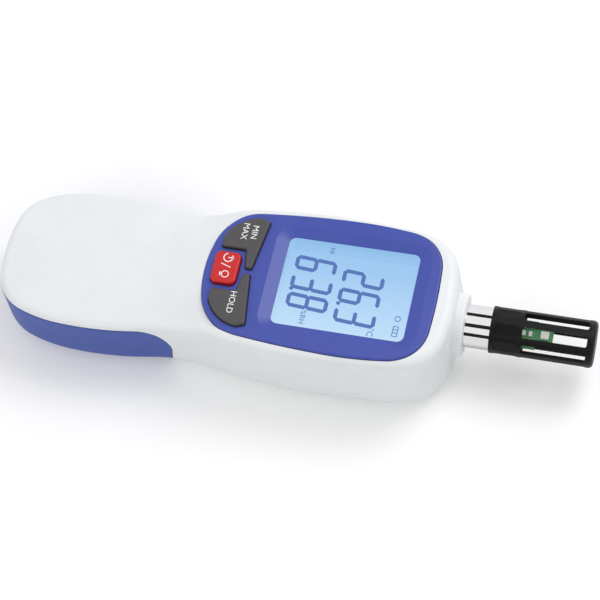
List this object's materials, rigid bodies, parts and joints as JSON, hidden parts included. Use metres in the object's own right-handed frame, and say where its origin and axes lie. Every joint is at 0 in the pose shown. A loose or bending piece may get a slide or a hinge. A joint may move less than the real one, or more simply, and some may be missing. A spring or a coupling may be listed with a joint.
{
  "type": "digital thermo-hygrometer",
  "caption": "Handheld temperature and humidity meter with lit display, press keys, blue handle grip and slotted probe.",
  "frame": {"origin": "centre of the bounding box footprint, on the flat back that the meter rests on", "axes": "+Y along the length from handle end to probe tip, +Z out of the display face, +X across"},
  "size_m": [0.0628, 0.226, 0.0388],
  "materials": {
    "white_abs": "fine-grained moulded ABS",
    "blue_abs": "fine-grained moulded ABS",
    "panel_blue": "satin printed ABS",
    "clear_window": "polished acrylic",
    "white_frame": "white ABS",
    "display_glass": "blue lit liquid crystal glass",
    "guide_acrylic": "milky acrylic",
    "led_package": "moulded lamp package",
    "strip_rubber": "silicone",
    "board_green": "glass-fibre board with green mask",
    "chip_black": "epoxy",
    "membrane_rubber": "silicone rubber",
    "key_red": "silicone rubber",
    "key_dark": "silicone rubber",
    "tube_chrome": "polished chrome plate",
    "guard_black": "black ABS",
    "carrier_black": "black ABS",
    "sensor_white": "ceramic-filled package",
    "cell_metal": "plain steel can",
    "spring_steel": "nickel-plated steel",
    "screw_steel": "zinc-plated steel"
  },
  "bodies": {
    "housing": {"front_shell": "white_abs", "rear_shell": "white_abs", "handle_grip": "blue_abs", "bezel_panel": "panel_blue", "display_window": "clear_window", "lcd_frame": "white_frame", "lcd_glass": "display_glass", "light_guide": "guide_acrylic", "backlight_leds": "led_package", "contact_strip": "strip_rubber", "main_board": "board_green", "board_components": "chip_black", "keypad_membrane": "membrane_rubber", "probe_tube": "tube_chrome", "sensor_guard": "guard_black", "board_carrier": "carrier_black", "sensor_board": "board_green", "sensor_chip": "sensor_white", "sensor_components": "sensor_white", "battery_cell_1": "cell_metal", "battery_cell_2": "cell_metal", "battery_cell_3": "cell_metal", "battery_springs": "spring_steel", "battery_contacts": "spring_steel", "case_screws": "screw_steel", "grip_screw": "screw_steel", "board_screws": "screw_steel"},
    "battery_door": {"battery_door": "blue_abs"},
    "power_key": {"power_key": "key_red"},
    "min_max_key": {"min_max_key": "key_dark"},
    "hold_key": {"hold_key": "key_dark"}
  },
  "joints": [
    {"name": "power_key_press", "type": "slide", "parent": "housing", "child": "power_key", "axis": [0, 0, -1], "range_m": [0, 0.0008], "stiffness_N_per_m": 900},
    {"name": "min_max_key_press", "type": "slide", "parent": "housing", "child": "min_max_key", "axis": [0, 0, -1], "range_m": [0, 0.0008], "stiffness_N_per_m": 900},
    {"name": "hold_key_press", "type": "slide", "parent": "housing", "child": "hold_key", "axis": [0, 0, -1], "range_m": [0, 0.0008], "stiffness_N_per_m": 900},
    {"name": "battery_door_removal", "type": "slide", "parent": "housing", "child": "battery_door", "axis": [0, 0, -1], "range_m": [0, 0.012]}
  ]
}
